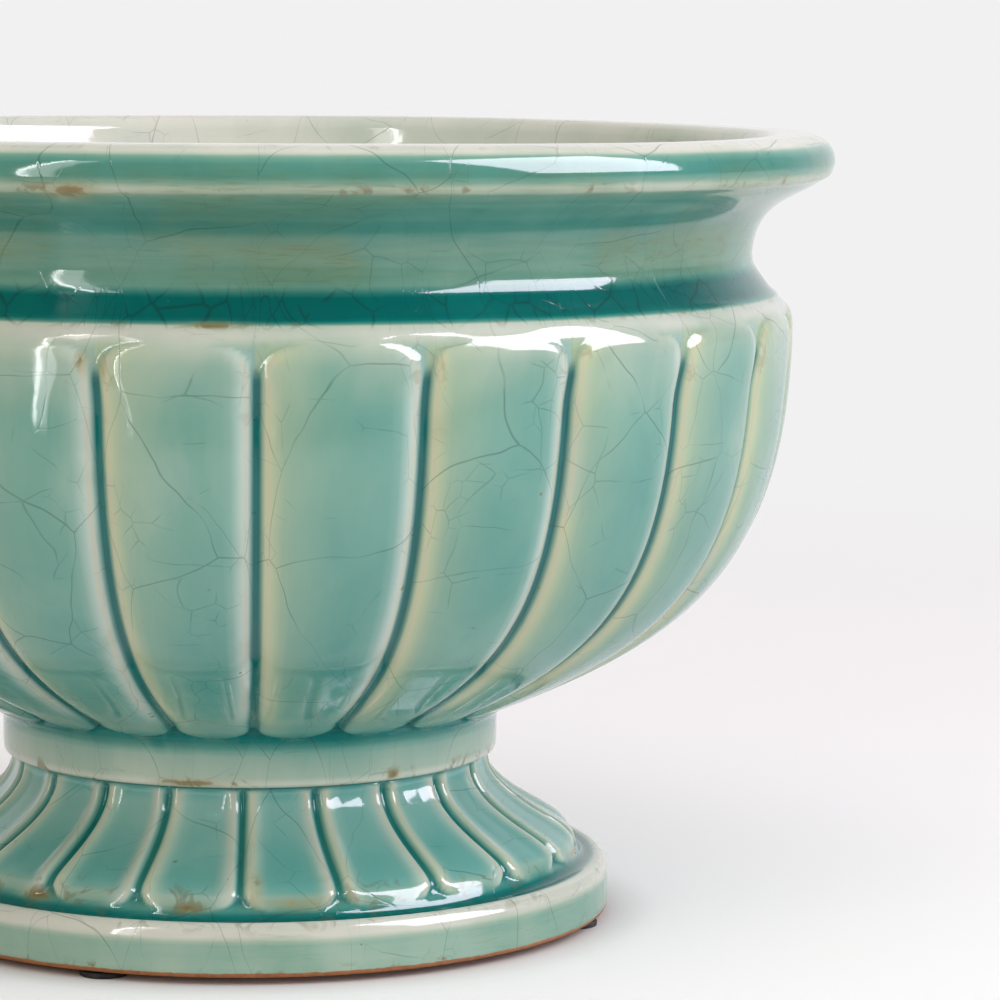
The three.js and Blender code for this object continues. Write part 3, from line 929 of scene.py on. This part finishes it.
class JARDINIERE_OT_stage(bpy.types.Operator):
    """Builds the table, the backdrop, the lights and the camera"""

    bl_idname = "jardiniere.stage"
    bl_label = "Build the studio"

    def execute(self, context):
        scene = context.scene
        light = scene.jardiniere_light
        table = table_sweep()
        table.data.materials.append(table_material(light))

        cool, warm, plain, lilac = LAMP_TINTS
        shine = light.softbox * light.glint
        glare = light.window * light.glint
        panel_light("softbox", 69, 33, 1.32, 0.84, 1.1, light.softbox, cool, glossy=False)
        panel_light("softbox_glint", 69, 33, 1.3, 0.84, 1.1, shine, lilac, diffuse=False)
        panel_light("window", -36, 21, 1.62, 0.3, 1.2, light.window, warm, glossy=False)
        panel_light("window_glint", -38, 17, 1.6, 0.16, 1.95, 0.26 * glare, plain, diffuse=False)
        panel_light("window_edge", -41.4, 17, 1.58, 0.035, 1.95, 0.28 * glare, plain, diffuse=False)
        panel_light("overhead", 10, 72, 1.5, 1.2, 1.0, light.overhead, plain, glossy=False)
        panel_light("fill", 40, 5, 1.6, 1.0, 0.3, light.fill, cool, glossy=False)

        world = bpy.data.worlds.new("studio")
        scene.world = world
        world.use_nodes = True
        tree = world.node_tree
        tree.nodes.clear()
        path = tree.nodes.new("ShaderNodeLightPath")
        surroundings = tree.nodes.new("ShaderNodeBackground")
        surroundings.inputs[0].default_value = (*AMBIENT_TINT, 1)
        surroundings.inputs[1].default_value = light.ambient
        shader = surroundings.outputs[0]
        for ray, tone in (("Is Glossy Ray", (light.surround,) * 3), ("Is Camera Ray", light.backdrop)):
            seen, chosen = tree.nodes.new("ShaderNodeBackground"), tree.nodes.new("ShaderNodeMixShader")
            seen.inputs[0].default_value = (*tone, 1)
            tree.links.new(path.outputs[ray], chosen.inputs[0])
            tree.links.new(shader, chosen.inputs[1])
            tree.links.new(seen.outputs[0], chosen.inputs[2])
            shader = chosen.outputs[0]
        out = tree.nodes.new("ShaderNodeOutputWorld")
        tree.links.new(shader, out.inputs[0])

        camera = bpy.data.cameras.new("camera")
        camera.lens, camera.sensor_width = CAMERA_LENS
        camera.clip_end = 100
        holder = bpy.data.objects.new("camera", camera)
        yaw, pitch, roll = CAMERA_TURN
        right = Vector((math.cos(yaw), -math.sin(yaw), 0))
        ahead = Vector((math.sin(yaw) * math.cos(pitch), math.cos(yaw) * math.cos(pitch), -math.sin(pitch)))
        up = right.cross(ahead)
        across = math.cos(roll) * right + math.sin(roll) * up
        over = math.cos(roll) * up - math.sin(roll) * right
        facing = Matrix((across, over, -ahead)).transposed().to_4x4()
        holder.matrix_world = Matrix.Translation(CAMERA_PLACE) @ facing
        scene.collection.objects.link(holder)
        scene.camera = holder
        scene.view_settings.view_transform = "Standard"
        return {"FINISHED"}


class JARDINIERE_PT_sidebar(bpy.types.Panel):
    """Lists the builders and their settings"""

    bl_idname = "JARDINIERE_PT_sidebar"
    bl_label = "Jardiniere"
    bl_space_type = "VIEW_3D"
    bl_region_type = "UI"
    bl_category = "Jardiniere"

    def draw(self, context):
        for builder in BUILDERS:
            self.layout.operator(builder.bl_idname)
        for group, title in GROUPS:
            box = self.layout.box()
            box.label(text=title)
            settings = getattr(context.scene, group)
            for key in settings.bl_rna.properties.keys():
                if key not in {"rna_type", "name"}:
                    box.prop(settings, key)


SETTINGS = (BowlSizes, StandSizes, GlazeColours, StudioLight)
GROUPS = (("jardiniere_bowl", "Bowl"), ("jardiniere_stand", "Stand"), ("jardiniere_glaze", "Glaze"),
          ("jardiniere_light", "Light"))
BUILDERS = (JARDINIERE_OT_bowl, JARDINIERE_OT_stand, JARDINIERE_OT_pads, JARDINIERE_OT_stage)


def register():
    for group in (*SETTINGS, *BUILDERS, JARDINIERE_PT_sidebar):
        bpy.utils.register_class(group)
    for (key, _), settings in zip(GROUPS, SETTINGS):
        setattr(bpy.types.Scene, key, bpy.props.PointerProperty(type=settings))


def unregister():
    for key, _ in GROUPS:
        delattr(bpy.types.Scene, key)
    for group in reversed((*SETTINGS, *BUILDERS, JARDINIERE_PT_sidebar)):
        bpy.utils.unregister_class(group)


def main():
    register()
    bpy.ops.jardiniere.bowl()
    bpy.ops.jardiniere.stand()
    bpy.ops.jardiniere.pads()
    bpy.ops.jardiniere.stage()
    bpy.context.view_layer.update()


if __name__ == "__main__":
    main()
